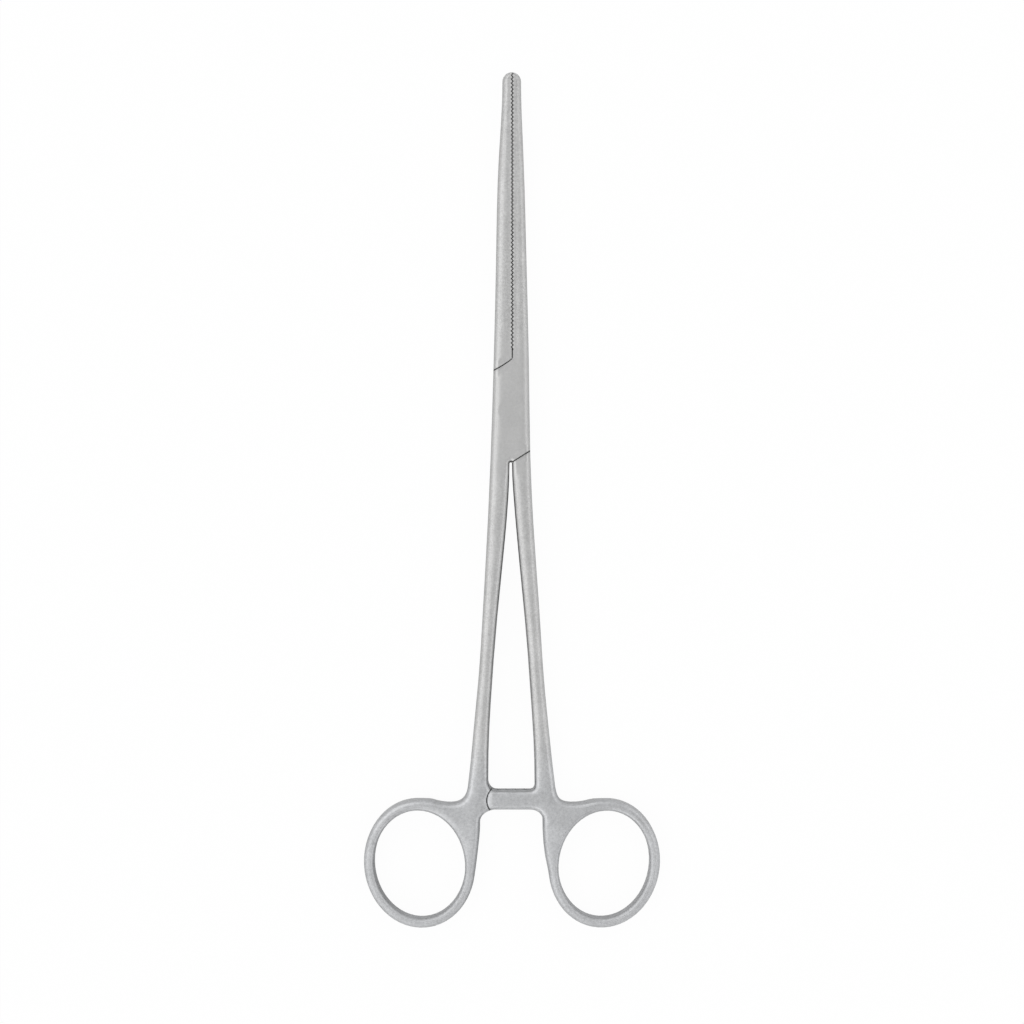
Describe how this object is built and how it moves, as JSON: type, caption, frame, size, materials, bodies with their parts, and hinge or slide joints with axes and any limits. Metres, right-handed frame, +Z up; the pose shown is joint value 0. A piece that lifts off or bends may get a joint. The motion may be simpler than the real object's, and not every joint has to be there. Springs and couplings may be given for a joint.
{
  "type": "hemostat forceps",
  "caption": "Straight locking forceps with serrated jaws, box lock, finger rings and interlocking ratchet arms.",
  "frame": {"origin": "on the pivot axis of the box lock, at the back face of the box on which the closed instrument lies", "axes": "+X to the right across the instrument, +Y from the finger rings to the jaw tips, +Z up through the thickness, out of the front face"},
  "size_m": [0.0762, 0.2204, 0.0062],
  "materials": {
    "satin_steel": "satin, glass-bead blasted",
    "pin_steel": "satin, ground flush"
  },
  "bodies": {
    "female_body": {"female_half": "satin_steel", "lock_pin": "pin_steel"},
    "male_body": {"male_half": "satin_steel"}
  },
  "joints": [
    {"name": "box_lock", "type": "hinge", "parent": "female_body", "child": "male_body", "pos_m": [0, 0, 0.0031], "axis": [0, 0, 1], "range_deg": [0, 55]}
  ]
}
